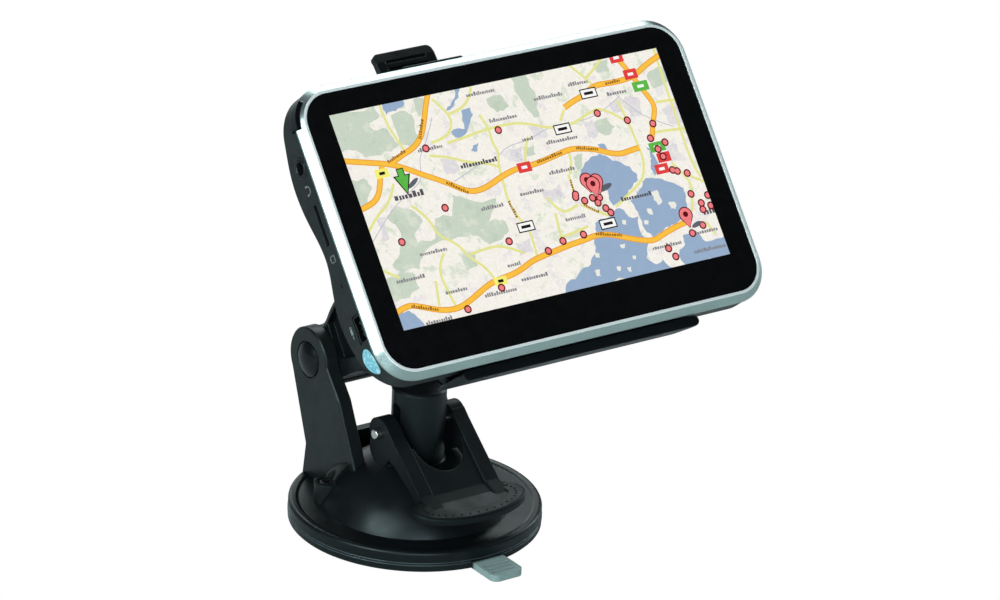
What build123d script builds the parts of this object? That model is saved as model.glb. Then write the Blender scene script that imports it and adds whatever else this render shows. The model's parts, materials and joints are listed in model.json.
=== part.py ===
from build123d import *
import os
from math import cos, pi, radians, sin

os.makedirs("parts", exist_ok=True)

# A portable GPS navigator in a windscreen mount. Millimetres, X across the screen, Y away from
# the driver, Z up. The origin is the centre of the suction cup's underside.

# ---- driving dimensions: suction base ----
cup_radius = 37.2
cup_rim = 2.6                 # height of the rubber rim
cup_contact = 27.0            # inner radius of the flat ring that seals
flange_top = 6.4
dome_radius = 28.4
dome_top = 19.5
column_radius = 8.0
column_top = 42.4
wall = 2.0
tab_width = 10.6
tab_reach = 48.4              # pull tab's tip, from the centre
tab_thick = 2.0

# ---- lever and stud ----
pin_z = 30.0
pin_radius = 1.6
pin_half = 15.6
stud_radius = 3.9
stud_travel = 2.4
running = 0.05                # radial clearance of a pin that turns
arm_in, arm_out = 9.2, 13.8   # the lever's side arms, from the centre plane

# ---- fork and tilt pivot ----
plate_in, plate_out = 14.2, 18.5
pivot_y, pivot_z = 31.0, 42.5
pivot_radius = 2.5
head_radius = 9.8
knuckle_radius = 9.2
side_play = 0.25

# ---- the arm, along the unit's normal from the tilt pivot ----
tilt = 39.0                   # how far the screen leans back from upright, degrees
screen_distance = 114.0       # pivot to the bezel's front face
unit_rise = 8.3               # unit's centre above the arm's axis
swivel_at = 25.2              # pivot to the swivel face
neck_play = 0.2

# ---- GPS unit ----
screen_width, screen_height = 110.88, 62.83
screen_rise = 2.4             # screen's centre above the unit's
glass_width, glass_height, glass_corner = 126.0, 80.2, 8.5
lip = 0.8                     # flat front of the bezel
bevel = 2.0
bezel_depth = 2.6
housing_inset = 0.2
unit_depth = 15.2
shell = 1.8

# ---- cradle ----
shelf_half = 40.0
shelf_thick = 3.0
plate_thick = 3.0
latch_x = -13.5
latch_width = 19.5
latch_pin_y = 32.0

bezel_width = glass_width + 2 * (lip + bevel)
bezel_height = glass_height + 2 * (lip + bevel)
bezel_corner = glass_corner + lip + bevel
housing_width = bezel_width - 2 * housing_inset
housing_height = bezel_height - 2 * housing_inset
housing_corner = bezel_corner - housing_inset
cradle_back = unit_depth + plate_thick
neck_end = screen_distance - cradle_back
ct, st = cos(radians(tilt)), sin(radians(tilt))
low = (Align.CENTER, Align.CENTER, Align.MIN)


def leaning(distance, rise=0.0):
    """The plane square to the unit's normal, a distance along it from the tilt pivot."""
    origin = (0, pivot_y - ct * distance + st * rise, pivot_z + st * distance + ct * rise)
    return Plane(origin=origin, x_dir=(1, 0, 0), z_dir=(0, -ct, st))


arm_frame = Location(leaning(0))
unit_frame = Location(leaning(screen_distance, unit_rise))


def slab(width, height, radius, back, front, x=0.0, y=0.0):
    """A rounded rectangle with its thickness along Z."""
    return Pos(x, y, back) * extrude(RectangleRounded(width, height, radius), front - back)


def block(x0, x1, y0, y1, z0, z1):
    return Pos((x0 + x1) / 2, (y0 + y1) / 2, (z0 + z1) / 2) * Box(x1 - x0, y1 - y0, z1 - z0)


def disc(radius, bottom, top, x=0.0, y=0.0):
    return Pos(x, y, bottom) * Cylinder(radius, top - bottom, align=low)


def cross_pin(radius, x0, x1, y, z):
    """A cylinder along X."""
    return Pos(x0, y, z) * Rot(0, 90, 0) * Cylinder(radius, x1 - x0, align=low)


def turned(points):
    """A solid of revolution about Z from (radius, height) points."""
    outline = Polyline(*[(r, z) for r, z in points], close=True)
    return revolve(Plane.XZ * make_face(outline), Axis.Z)


def side_prism(face_points, x0, x1):
    """A polygon in Y and Z, extruded along X."""
    outline = make_face(Polyline(*face_points, close=True))
    return Pos(x0, 0, 0) * extrude(Plane.YZ * outline, x1 - x0)


def screw(head_radius_, head_height, shank_radius, length):
    """A pan-head screw with a cross recess, pointing down from Z=0."""
    body = disc(head_radius_, 0, head_height) + disc(shank_radius, -length, 0)
    top_edge = body.edges().filter_by(GeomType.CIRCLE).sort_by(Axis.Z)[-1]
    body = fillet(top_edge, head_height * 0.4)
    arm = head_radius_ * 1.1
    cross = Box(arm, head_radius_ * 0.28, head_height) + Box(head_radius_ * 0.28, arm, head_height)
    return body - Pos(0, 0, head_height) * cross


# ---------------------------------------------------------------- suction base
def dome_face(offset):
    """Half section of the base's outside, moved in by an offset for the cavity."""
    foot = (dome_radius - offset, flange_top - offset - 0.4)
    shoulder = (11.5, dome_top - offset)
    middle = (22.4 - 0.72 * offset, 14.3 - 0.7 * offset)
    return foot, middle, shoulder


def suction_cup():
    cup = turned([
        (0, 1.6), (12, 1.5), (20, 1.0), (cup_contact, 0), (cup_radius - 0.5, 0),
        (cup_radius, 0.5), (cup_radius, cup_rim), (33.2, cup_rim), (33.2, 3.5), (14, 4.4),
        (12.5, 4.8), (12.5, 9.3), (4.3, 9.3), (4.3, 8.3), (8.7, 8.3), (8.7, 4.0), (0, 4.0),
    ])
    tab = slab(tab_width, tab_reach - 34, 2.2, 0.3, 0.3 + tab_thick, y=-(tab_reach + 34) / 2)
    for k in range(3):
        groove_y = -tab_reach + 2.6 + 2.2 * k
        tab -= Pos(0, groove_y, 0.3 + tab_thick) * Rot(0, 90, 0) * Cylinder(0.45, tab_width - 2.4)
    return cup + tab


def housing_envelope(lift=0.0):
    """The base's outside as one solid, optionally raised for clearance."""
    foot, middle, shoulder = dome_face(0)
    outside = make_face(Curve() + [
        Polyline((0, cup_rim), (cup_radius, cup_rim), (cup_radius, flange_top - 1.0)),
        ThreePointArc((cup_radius, flange_top - 1.0), (cup_radius - 0.35, flange_top - 0.3),
                      (cup_radius - 1.2, flange_top)),
        Polyline((cup_radius - 1.2, flange_top), (cup_radius - 2.2, flange_top - 0.1),
                 (cup_radius - 3.0, flange_top - 0.5), foot),
        ThreePointArc(foot, middle, shoulder),
        Line(shoulder, (8.8, dome_top)),
        ThreePointArc((8.8, dome_top), (8.2, dome_top + 0.25), (column_radius, dome_top + 0.9)),
        Polyline((column_radius, dome_top + 0.9), (column_radius, column_top - 0.6),
                 (column_radius - 0.6, column_top), (0, column_top), (0, cup_rim)),
    ])
    return Pos(0, 0, lift) * revolve(Plane.XZ * outside, Axis.Z)


def base_housing():
    foot, middle, shoulder = dome_face(wall)
    bore = stud_radius + 0.1
    inside = make_face(Curve() + [
        Polyline((0, cup_rim), (33.4, cup_rim), (33.4, flange_top - wall - 0.4), foot),
        ThreePointArc(foot, middle, shoulder),
        Polyline(shoulder, (bore, dome_top - wall), (bore, column_top - 4), (0, column_top - 4),
                 (0, cup_rim)),
    ])
    hollow = revolve(Plane.XZ * inside, Axis.Z)
    for side in (-1, 1):
        hollow -= disc(2.6, 4.9, 12, side * lug_x, lug_y)
    body = housing_envelope() - hollow
    slot_low, slot_high = pin_z - stud_travel - pin_radius - 0.2, 38.0
    slot = slab(2 * pin_radius + 0.5, slot_high - slot_low, pin_radius, -12, 12)
    body -= Pos(0, 0, (slot_low + slot_high) / 2) * Rot(0, 90, 0) * Rot(0, 0, 90) * slot
    body -= disc(column_radius - 1.4, column_top - 1.4, column_top + 1)
    for side in (-1, 1):
        body -= disc(1.15, 5.0, 12.0, side * lug_x, lug_y)
        body -= disc(2.6, lug_seat, 20, side * lug_x, lug_y)
    return body


def column_cap():
    cap = disc(column_radius - 1.45, column_top - 1.4, column_top - 0.3)
    return chamfer(cap.edges().filter_by(GeomType.CIRCLE).sort_by(Axis.Z)[-1], 0.3)


def pull_stud():
    shaft = disc(stud_radius, 12, 36)
    stud = shaft + disc(6.8, 12, 13) + disc(3.4, 6.5, 12) + disc(8.2, 6.5, 8.1)
    return stud - cross_pin(pin_radius, -10, 10, 0, pin_z)


def stud_spring():
    bottom, top = 13.0, dome_top - wall
    wire = 0.4
    rise = top - bottom - 2 * wire - 0.1
    path = Pos(0, 0, bottom + wire + 0.05) * Helix(pitch=rise / 3.5, height=rise, radius=5.6)
    section = Plane(origin=path @ 0, z_dir=path % 0) * Circle(wire)
    return sweep(section, path=path)


def lever_pin():
    pin = cross_pin(pin_radius, -pin_half, pin_half, 0, pin_z)
    ends = pin.edges().filter_by(GeomType.CIRCLE)
    return fillet(ends, 0.5)


def lever():
    """Two cam arms on the pin, a web with a U cut-out and an oval thumb pad."""
    top_line = [(-3.2, pin_z + 3.8), (-6.0, pin_z + 1.3), (-22.0, 18.4), (-30.0, 15.6)]
    under_line = [(-30.0, 13.2), (-22.0, 14.6), (-9.0, 22.4), (-3.6, 24.2)]
    profile = top_line + under_line
    arms = Part()
    for side in (-1, 1):
        x0, x1 = sorted((side * arm_in, side * arm_out))
        hub = cross_pin(4.8, x0, x1, 0, pin_z) + cross_pin(5.0, x0, x1, -0.5, pin_z - 4.8)
        arms += side_prism(profile, x0, x1) + hub
    web_top = [(-9.5, pin_z - 2.0), (-22.0, 17.9), (-30.0, 15.2)]
    web = side_prism(web_top + [(-30.0, 13.2), (-22.0, 15.2), (-11.0, 24.6)], -arm_in, arm_in)
    cut = disc(9.4, 0, 60) + block(-9.4, 9.4, 0, 20, 0, 60)
    cut += Pos(0, -8.5, 0) * Cylinder(8.4, 60, align=low)
    web -= cut
    pad = Pos(0, -27.2, 14.6) * Rot(7, 0, 0) * extrude(Ellipse(18.8, 8.6), 2.3)
    rim = pad.edges().sort_by(Axis.Z)[-1]
    pad = fillet(rim, 0.9)
    pad -= Pos(0, -27.2, 16.5) * Rot(7, 0, 0) * extrude(Ellipse(13.2, 4.9), 2.0)
    body = arms + web + pad - housing_envelope(0.6)
    return body - cross_pin(pin_radius + running, -20, 20, 0, pin_z)


lug_x, lug_y, lug_top, lug_seat = 23.4, 11.6, 12.4, 10.8


def fork():
    """Two upright plates and the low wall that joins them, cut to the dome, with a lug each side."""
    outline = make_face(Polyline(
        (32.6, 5.2), (31.2, 15.6), (40.6, 40.6), (38.0, 46.0), (30.0, 48.0), (22.3, 44.6),
        (14.4, 35.4), (9.2, 25.0), (4.6, 16.0), (4.2, 5.2), close=True))
    both = Part()
    for side in (-1, 1):
        x0, x1 = sorted((side * plate_in, side * plate_out))
        plate = Pos(x0, 0, 0) * extrude(Plane.YZ * outline, plate_out - plate_in)
        plate += cross_pin(head_radius, x0, x1, pivot_y, pivot_z)
        plate = chamfer(plate.faces().sort_by(Axis.X)[0 if side < 0 else -1].edges(), 0.45)
        lug = disc(3.9, 5, lug_top, side * lug_x, lug_y)
        strap = block(*sorted((side * (plate_out - 1), side * lug_x)), lug_y - 3.9, lug_y + 3.9,
                      5, 20)
        both += plate + lug + (strap & housing_envelope(2.4))
        both -= cross_pin(5.6, *sorted((side * (plate_out - 0.6), side * (plate_out + 1))),
                          pivot_y, pivot_z)
        both -= disc(2.6, lug_seat, 20, side * lug_x, lug_y)
    both += block(-plate_in - 1, plate_in + 1, 28.4, 31.4, 5, 17.0)
    both -= housing_envelope()
    both -= cross_pin(pivot_radius + running, -30, 30, pivot_y, pivot_z)
    for side in (-1, 1):
        both -= disc(1.15, 4, 20, side * lug_x, lug_y)
    return both


def fork_screws():
    pair = Part()
    for side in (-1, 1):
        pair += Pos(side * lug_x, lug_y, lug_seat) * screw(2.4, 1.5, 1.1, 5.4)
    return pair


def pivot_bolt():
    head_x = -plate_out + 0.6
    bolt = cross_pin(pivot_radius, head_x, 24.6, pivot_y, pivot_z)
    ball = Pos(head_x + 6.9, pivot_y, pivot_z) * Sphere(9.2)
    head = ball & cross_pin(5.2, head_x - 3, head_x, pivot_y, pivot_z)
    return bolt + head


def pivot_washer():
    ring = cross_pin(5.4, plate_out - 0.6, plate_out + 0.5, pivot_y, pivot_z)
    return ring - cross_pin(pivot_radius, 10, 30, pivot_y, pivot_z)


def pivot_nut():
    x0 = plate_out + 0.5
    hexagon = Plane.YZ * extrude(RegularPolygon(4.9, 6), 4.2)
    nut = Pos(x0, pivot_y, pivot_z) * hexagon
    return nut - cross_pin(pivot_radius, 10, 30, pivot_y, pivot_z)


# ---------------------------------------------------------------- arm
def tilt_knuckle():
    """The barrel between the plates and the head that carries the swivel face, in the arm's frame."""
    half = plate_in - side_play
    upper = Spline((0.5, 9.15), (5.2, 9.3), (10.4, 11.5), (17.4, 13.8), (21.0, 14.0),
                   tangents=((1, 0), (1, 0)))
    outline = make_face(Curve() + [
        upper,
        Polyline(upper @ 1, (swivel_at - neck_play, 14.0), (swivel_at - neck_play, -13.0),
                 (21.5, -13.0)),
        Spline((21.5, -13.0), (14.0, -9.6), (3.0, -8.7), tangents=((-0.6, 1), (-1, 0))),
        Line((3.0, -8.7), (0.5, 9.15)),
    ])
    side_plane = Plane(origin=(-half, 0, 0), x_dir=(0, 0, 1), z_dir=(-1, 0, 0))
    head = extrude(side_plane * outline, -2 * half)
    corners = head.edges().filter_by(Axis.Z).sort_by(Axis.Z)[-4:]
    body = fillet(corners, 4.0)
    body += Pos(-half, 0, 0) * Rot(0, 90, 0) * Cylinder(knuckle_radius, 2 * half, align=low)
    pocket = make_face(Polyline((9.0, -3.5), (9.5, 7.4), (16.5, 10.4), (21.0, 10.8), (21.0, -6.5),
                                (14.0, -5.0), close=True))
    for side in (-1, 1):
        cut = extrude(side_plane * pocket, -2.2)
        body -= cut if side < 0 else mirror(cut, about=Plane.YZ)
    body -= Pos(-20, 0, 0) * Rot(0, 90, 0) * Cylinder(pivot_radius + running, 40, align=low)
    return body - disc(2.2, 11, 40)


def neck():
    floor = swivel_at + 5.6
    outside = make_face(Curve() + [
        Polyline((0, swivel_at), (13.2, swivel_at), (14.0, swivel_at + 0.8),
                 (14.0, swivel_at + 4.0)),
        Spline((14.0, swivel_at + 4.0), (9.6, swivel_at + 13.0), (8.0, 58.0), (8.8, 76.0),
               (16.0, neck_end - 6.0), tangents=((-0.25, 1), (0.9, 1))),
        Polyline((16.0, neck_end - 6.0), (17.0, neck_end - 4.6), (17.0, neck_end), (0, neck_end),
                 (0, swivel_at)),
    ])
    body = revolve(Plane.XZ * outside, Axis.Z)
    body -= disc(5.0, floor, neck_end + 1) + disc(2.26, 0, floor + 1)
    for x, y in neck_screw_places:
        body -= disc(1.2, neck_end - 5.0, neck_end + 1, x, y)
    return body


neck_screw_places = [(11.6 * cos(a), 11.6 * sin(a)) for a in (pi / 4, 3 * pi / 4, 5 * pi / 4, 7 * pi / 4)]


def swivel_washer():
    floor = swivel_at + 5.6
    return disc(4.6, floor + 0.05, floor + 1.0) - disc(2.26, 0, 60)


def swivel_screw():
    seat = swivel_at + 6.6
    return Pos(0, 0, seat) * screw(4.2, 2.6, 2.2, seat - 12.0)


def neck_screws():
    group = Part()
    for x, y in neck_screw_places:
        head = screw(2.3, 1.4, 1.2, 5.6)
        group += Pos(x, y, neck_end + plate_thick - 1.6) * head
    return group


# ---------------------------------------------------------------- cradle, in the unit's frame
def cradle_plate():
    back, front = -cradle_back, -unit_depth
    shelf_top = -bezel_height / 2 - 0.1
    shelf_low = shelf_top - shelf_thick
    plate = slab(80, 62, 9, back, front, y=shelf_low + 31.5)
    plate += slab(34, 46, 5, back, front, x=latch_x, y=18)
    plate = fillet(plate.edges().filter_by(Axis.Z), 1.2)
    for side in (-1, 1):
        plate -= slab(13, 34, 4, back - 1, front + 1, x=side * 28, y=-14)
    bar = Pos(0, (shelf_top + shelf_low) / 2, 0) * SlotOverall(2 * shelf_half, shelf_thick)
    plate += Pos(0, 0, back) * extrude(bar, cradle_back - 3.6)
    # the shelf thins towards the back, as a moulded shelf with draft does
    across = Plane(origin=(-shelf_half - 6, 0, 0), x_dir=(0, 1, 0), z_dir=(1, 0, 0))
    under = Polyline((shelf_low - 1, -4.6), (shelf_low, -4.6), (shelf_low + 1.9, back - 1), (shelf_low - 1, back - 1),
                     close=True)
    plate -= extrude(across * make_face(under), 2 * shelf_half + 12)
    for side in (-1, 1):
        lug_at = latch_x + side * 12.2
        plate += block(lug_at - 1.2, lug_at + 1.2, latch_pin_y - 3.2, latch_pin_y + 3.2, -23.4, back)
    plate -= cross_pin(1.0, latch_x - 20, latch_x + 20, latch_pin_y, latch_pin_w)
    neck_y = -unit_rise
    for x, y in neck_screw_places:
        plate -= disc(1.25, back - 1, front + 1, x, y + neck_y)
        plate -= disc(2.5, front - 1.6, front + 1, x, y + neck_y)
    return plate


latch_pin_w = -20.8


def release_latch():
    """Arm behind the plate, a nose over the top of the unit and a grooved finger tab."""
    half = latch_width / 2
    top = bezel_height / 2
    profile = [
        (latch_pin_y - 0.5, -19.2), (latch_pin_y - 0.5, -22.2), (top + 1.2, -21.4),
        (top + 3.6, -20.6), (top + 7.4, -21.0), (top + 10.0, -22.0), (top + 10.4, -20.2),
        (top + 7.6, -19.0), (top + 3.6, -18.5), (top + 2.0, -17.6), (top + 1.9, -7.0),
        (top + 1.5, -6.4), (top + 0.15, -6.4), (top + 0.15, -18.8), (top - 1.0, -19.2),
    ]
    plane = Plane(origin=(-half, 0, 0), x_dir=(0, 1, 0), z_dir=(1, 0, 0))
    body = extrude(plane * make_face(Polyline(*profile, close=True)), latch_width)
    upright = body.edges().filter_by(lambda e: e.center().Y > top + 9.0 and abs(e.center().X) > half - 0.1)
    tips = upright.filter_by(lambda e: e.length < 2.2)
    body = fillet(tips, 1.7)
    for y, w in ((top + 4.9, -18.65), (top + 7.2, -18.95)):
        body -= Pos(0, y, w) * Rot(0, 90, 0) * Cylinder(0.45, latch_width - 6)
    body += Pos(0, top - 0.3, -9.2) * Box(14, 0.9, 1.2)
    body += Pos(-half + 3.5, latch_pin_y, latch_pin_w) * Rot(0, 90, 0) * Cylinder(
        2.3, latch_width - 7.0, align=low)
    body -= Pos(-half - 2, latch_pin_y, latch_pin_w) * Rot(0, 90, 0) * Cylinder(
        1.0 + running, latch_width + 4, align=low)
    for x0 in (-half - 0.1, half - 3.4):
        body -= block(x0, x0 + 3.5, latch_pin_y - 3, latch_pin_y + 3, -24, -18)
    return Pos(latch_x, 0, 0) * body


def latch_pin():
    return cross_pin(1.0, latch_x - 14.0, latch_x + 14.0, latch_pin_y, latch_pin_w)


def latch_spring():
    turns, wire, radius = 3.2, 0.3, 1.6
    start = latch_x + latch_width / 2 - 3.0
    coil = Helix(pitch=0.8, height=0.8 * turns, radius=radius)
    section = Plane(origin=coil @ 0, z_dir=coil % 0) * Circle(wire)
    return Pos(start, latch_pin_y, latch_pin_w) * Rot(0, 90, 0) * sweep(section, path=coil)


# ---------------------------------------------------------------- GPS unit, in its own frame
port_x = -housing_width / 2
jack_y, jack_w = 22.5, -6.8
card_y, card_w = 5.6, -6.2
usb_y, usb_w = -24.9, -5.3
reset_y, reset_w = -12.0, -6.6
corner_x, corner_y = -(glass_width / 2 - glass_corner), glass_height / 2 - glass_corner
button_from, button_to = 134.0, 177.0
side_depths = [(43.5, 8.6), (33.0, 9.8), (22.0, 13.0), (9.0, 12.4), (-4.0, 10.0), (-18.0, 13.6),
               (-27.0, 12.8), (-36.0, 9.8), (-43.5, 8.8)]


def sector(inner, outer, a0, a1, back, front):
    """A block between two radii and two angles about the unit's top left corner centre."""
    def at(r, a):
        return (corner_x + r * cos(radians(a)), corner_y + r * sin(radians(a)))
    mid = (a0 + a1) / 2
    face = make_face(Curve() + [
        ThreePointArc(at(outer, a0), at(outer, mid), at(outer, a1)),
        Line(at(outer, a1), at(inner, a1)),
        ThreePointArc(at(inner, a1), at(inner, mid), at(inner, a0)),
        Line(at(inner, a0), at(outer, a0)),
    ])
    return Pos(0, 0, back) * extrude(face, front - back)


def wave_body(width, thinner):
    """Everything in front of the housing's wavy back edge, as a prism along X."""
    edge = Spline(*[(y, -(d - thinner)) for y, d in side_depths])
    face = make_face(Curve() + [
        edge, Polyline(edge @ 1, (-43.5, 1), (43.5, 1), edge @ 0)])
    plane = Plane(origin=(-width / 2, 0, 0), x_dir=(0, 1, 0), z_dir=(1, 0, 0))
    return extrude(plane * face, width)


def housing_outside():
    outer = slab(housing_width, housing_height, housing_corner, -14.6, -bezel_depth)
    outer &= wave_body(housing_width + 4, 0)
    centre = slab(106, 68, 14, -unit_depth, -bezel_depth)
    centre = chamfer(centre.faces().sort_by(Axis.Z)[0].edges(), 2.0)
    return outer + centre


def rear_housing():
    inner = slab(housing_width - 2 * shell, housing_height - 2 * shell, housing_corner - shell,
                 -14.0, -bezel_depth + 1)
    inner &= wave_body(housing_width, shell)
    inner += slab(101, 63, 12, -unit_depth + shell, -bezel_depth + 1)
    body = housing_outside() - inner
    mouth = port_x - 1
    body -= Pos(mouth, jack_y, jack_w) * Rot(0, 90, 0) * Cylinder(2.6, 4, align=low)
    body -= block(mouth, mouth + 4, card_y - 5.9, card_y + 5.9, card_w - 0.85, card_w + 0.85)
    body -= block(mouth, mouth + 4, usb_y - 4.0, usb_y + 4.0, usb_w - 2.1, usb_w + 2.1)
    body -= Pos(mouth, reset_y, reset_w) * Rot(0, 90, 0) * Cylinder(0.5, 4, align=low)
    body -= sector(8.6, 13, button_from - 1.5, button_to + 1.5, -4.75, 0)
    body -= block(latch_x - 8, latch_x + 8, 41.8, 43, -11.8, -8.2)
    for i in range(5):
        for j in range(3):
            body -= disc(0.7, -20, -10, 26 + 2.6 * i, -22 + 2.6 * j)
    for x, y in housing_screw_places:
        body += disc(3.0, -unit_depth + shell - 0.1, -8.4, x, y)
        body -= disc(2.5, -20, -unit_depth + 2.4, x, y)
        body -= disc(1.2, -20, -8, x, y)
    return body


housing_screw_places = [(-45, 28), (45, 28), (-45, -28), (45, -28)]


def housing_screws():
    group = Part()
    for x, y in housing_screw_places:
        group += Pos(x, y, -unit_depth + 2.4) * Rot(180, 0, 0) * screw(2.3, 1.4, 1.1, 5.6)
    return group


def bezel_frame():
    outer = slab(bezel_width, bezel_height, bezel_corner, -bezel_depth, 0)
    outer = chamfer(outer.faces().sort_by(Axis.Z)[-1].edges(), bevel)
    ring = outer - slab(glass_width + 0.1, glass_height + 0.1, glass_corner + 0.05, -1.75, 1)
    ring -= slab(121, 77.4, 5, -5, 1, y=0)
    ring -= sector(9.05, 13, button_from - 1.5, button_to + 1.5, -4, -0.95)
    return ring


def touch_glass():
    glass = slab(glass_width, glass_height, glass_corner, -1.7, -0.15)
    return chamfer(glass.faces().sort_by(Axis.Z)[-1].edges(), 0.15)


def lcd_panel():
    return slab(115, 72, 1.0, -4.2, -1.8, y=0.2)


def lcd_frame():
    frame = slab(127.0, 81.2, 9.0, -6.4, -bezel_depth)
    frame -= slab(115.2, 72.2, 1.0, -4.3, 0, y=0.2) + slab(105, 62, 3, -8, 0)
    frame -= block(-66, -50, -31, 31, -8, -4.4) + block(-66, -57.55, -30, -20, -8, -3.2)
    frame -= sector(8.0, 13, button_from - 4, button_to + 4, -8, 0)
    return frame


def main_board():
    board = slab(100, 62, 2, -8.4, -7.25)
    board += block(-63.6, -48, -30, -19, -8.4, -7.25) + block(-63.6, -48, 0, 13, -8.4, -7.25)
    for x, y in housing_screw_places:
        board -= disc(1.4, -9, -7, x, y)
    return board


def shield_can():
    can = slab(30, 24, 1.5, -10.4, -8.4, x=30, y=12)
    return can - slab(29.4, 23.4, 1.2, -10.1, -8.3, x=30, y=12)


def battery_pack():
    return fillet(block(-41, 13, -31, 7, -13.2, -9.2).edges().filter_by(Axis.Y), 1.2)


def battery_pad():
    return slab(50, 34, 2, -9.2, -8.4, x=-14, y=-12)


def speaker():
    body = disc(9.5, -12.6, -9.6, 31.2, -19.4) + disc(6.0, -9.6, -8.6, 31.2, -19.4)
    return body - disc(8.4, -13, -12.0, 31.2, -19.4)


def gps_antenna():
    return slab(22, 22, 1.5, -12.0, -8.4, x=-14, y=19.5)


def headphone_jack():
    body = block(port_x + shell + 0.05, port_x + 13.0, jack_y - 3.0, jack_y + 3.0, jack_w - 2.4, jack_w + 2.4)
    barrel = Pos(port_x - 0.1, jack_y, jack_w) * Rot(0, 90, 0) * Cylinder(2.38, 3, align=low)
    bore = Pos(port_x - 1, jack_y, jack_w) * Rot(0, 90, 0) * Cylinder(1.8, 12.5, align=low)
    return body + barrel - bore


def card_socket():
    body = block(port_x + 1.9, port_x + 15, card_y - 6.6, card_y + 6.6, -7.25, card_w + 1.15)
    return body - block(port_x, port_x + 13.5, card_y - 5.6, card_y + 5.6, card_w - 0.55, card_w + 0.55)


def usb_socket():
    body = block(port_x + 0.3, port_x + 8.0, usb_y - 3.85, usb_y + 3.85, usb_w - 1.95, usb_w + 1.95)
    body -= block(port_x - 1, port_x + 7.2, usb_y - 3.45, usb_y + 3.45, usb_w - 1.6, usb_w + 1.6)
    return body + block(port_x + 1.2, port_x + 8.0, usb_y - 2.4, usb_y + 2.4, usb_w - 0.35, usb_w + 0.35)


def power_button():
    return sector(9.6, bezel_corner + 0.12, button_from, button_to, -4.55, -1.1)


def inspection_sticker():
    """A thin oval that follows the housing's bottom left corner."""
    skin = slab(housing_width + 0.24, housing_height + 0.24, housing_corner + 0.12, -12, -bezel_depth)
    skin -= slab(housing_width, housing_height, housing_corner, -13, 0)
    oval = Plane(origin=(-70, -34.2, -6.0), x_dir=(0, 1, 0), z_dir=(1, 0, 0)) * Ellipse(3.7, 2.7)
    return skin & extrude(oval, 14)


nodes = {
    "suction_cup": suction_cup(),
    "base_housing": base_housing(),
    "column_cap": column_cap(),
    "pull_stud": pull_stud(),
    "stud_spring": stud_spring(),
    "lever_pin": lever_pin(),
    "lever": lever(),
    "fork": fork(),
    "fork_screws": fork_screws(),
    "pivot_bolt": pivot_bolt(),
    "pivot_washer": pivot_washer(),
    "pivot_nut": pivot_nut(),
    "tilt_knuckle": arm_frame * tilt_knuckle(),
    "swivel_washer": arm_frame * swivel_washer(),
    "swivel_screw": arm_frame * swivel_screw(),
    "neck": arm_frame * neck(),
    "neck_screws": arm_frame * neck_screws(),
    "cradle_plate": unit_frame * cradle_plate(),
    "release_latch": unit_frame * release_latch(),
    "latch_pin": unit_frame * latch_pin(),
    "latch_spring": unit_frame * latch_spring(),
    "rear_housing": unit_frame * rear_housing(),
    "housing_screws": unit_frame * housing_screws(),
    "bezel_frame": unit_frame * bezel_frame(),
    "touch_glass": unit_frame * touch_glass(),
    "lcd_panel": unit_frame * lcd_panel(),
    "lcd_frame": unit_frame * lcd_frame(),
    "main_board": unit_frame * main_board(),
    "shield_can": unit_frame * shield_can(),
    "battery_pack": unit_frame * battery_pack(),
    "battery_pad": unit_frame * battery_pad(),
    "speaker": unit_frame * speaker(),
    "gps_antenna": unit_frame * gps_antenna(),
    "headphone_jack": unit_frame * headphone_jack(),
    "card_socket": unit_frame * card_socket(),
    "usb_socket": unit_frame * usb_socket(),
    "power_button": unit_frame * power_button(),
    "inspection_sticker": unit_frame * inspection_sticker(),
}

for name, solid in nodes.items():
    export_step(solid, f"parts/{name}.step")
    print(name, round(solid.volume, 1))
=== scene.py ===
import json
import random
from math import cos, pi, radians, sin

import bmesh
import bpy
from mathutils import Matrix, Vector


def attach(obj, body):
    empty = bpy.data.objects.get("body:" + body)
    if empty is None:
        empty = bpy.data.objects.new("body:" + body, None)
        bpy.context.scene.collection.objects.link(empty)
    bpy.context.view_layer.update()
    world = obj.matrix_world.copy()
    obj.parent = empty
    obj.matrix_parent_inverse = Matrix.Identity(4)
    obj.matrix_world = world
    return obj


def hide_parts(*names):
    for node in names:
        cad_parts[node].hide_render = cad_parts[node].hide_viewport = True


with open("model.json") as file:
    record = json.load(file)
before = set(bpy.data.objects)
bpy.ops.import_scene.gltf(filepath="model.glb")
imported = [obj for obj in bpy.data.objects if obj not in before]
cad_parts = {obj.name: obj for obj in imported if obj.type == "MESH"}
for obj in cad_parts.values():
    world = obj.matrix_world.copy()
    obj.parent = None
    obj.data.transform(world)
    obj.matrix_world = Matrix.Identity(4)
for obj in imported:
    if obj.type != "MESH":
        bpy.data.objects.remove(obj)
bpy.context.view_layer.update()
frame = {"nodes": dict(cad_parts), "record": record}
nodes = frame["nodes"]
scene = bpy.context.scene

# places shared with the CAD, in metres
screenLean = radians(39)
tiltPivot = Vector((0, 0.031, 0.0425))
outward = Vector((0, -cos(screenLean), sin(screenLean)))    # out of the screen
upward = Vector((0, sin(screenLean), cos(screenLean)))      # up the screen
armReach, unitLift = 0.114, 0.0083      # from the pivot to the middle of the unit's front
unitCentre = tiltPivot + armReach * outward + unitLift * upward
worldPlace = Matrix.Scale(0.001, 4)     # pieces are drawn in millimetres
unitPlace = Matrix((
    (1, 0, 0, unitCentre.x),
    (0, upward.y, outward.y, unitCentre.y),
    (0, upward.z, outward.z, unitCentre.z),
    (0, 0, 0, 1),
)) @ worldPlace


# linear colour from red, green and blue between 0 and 255
def fromBytes(red, green, blue):
    def lin(c):
        c /= 255
        return c / 12.92 if c <= 0.04045 else ((c + 0.055) / 1.055) ** 2.4
    return (lin(red), lin(green), lin(blue), 1)


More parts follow.
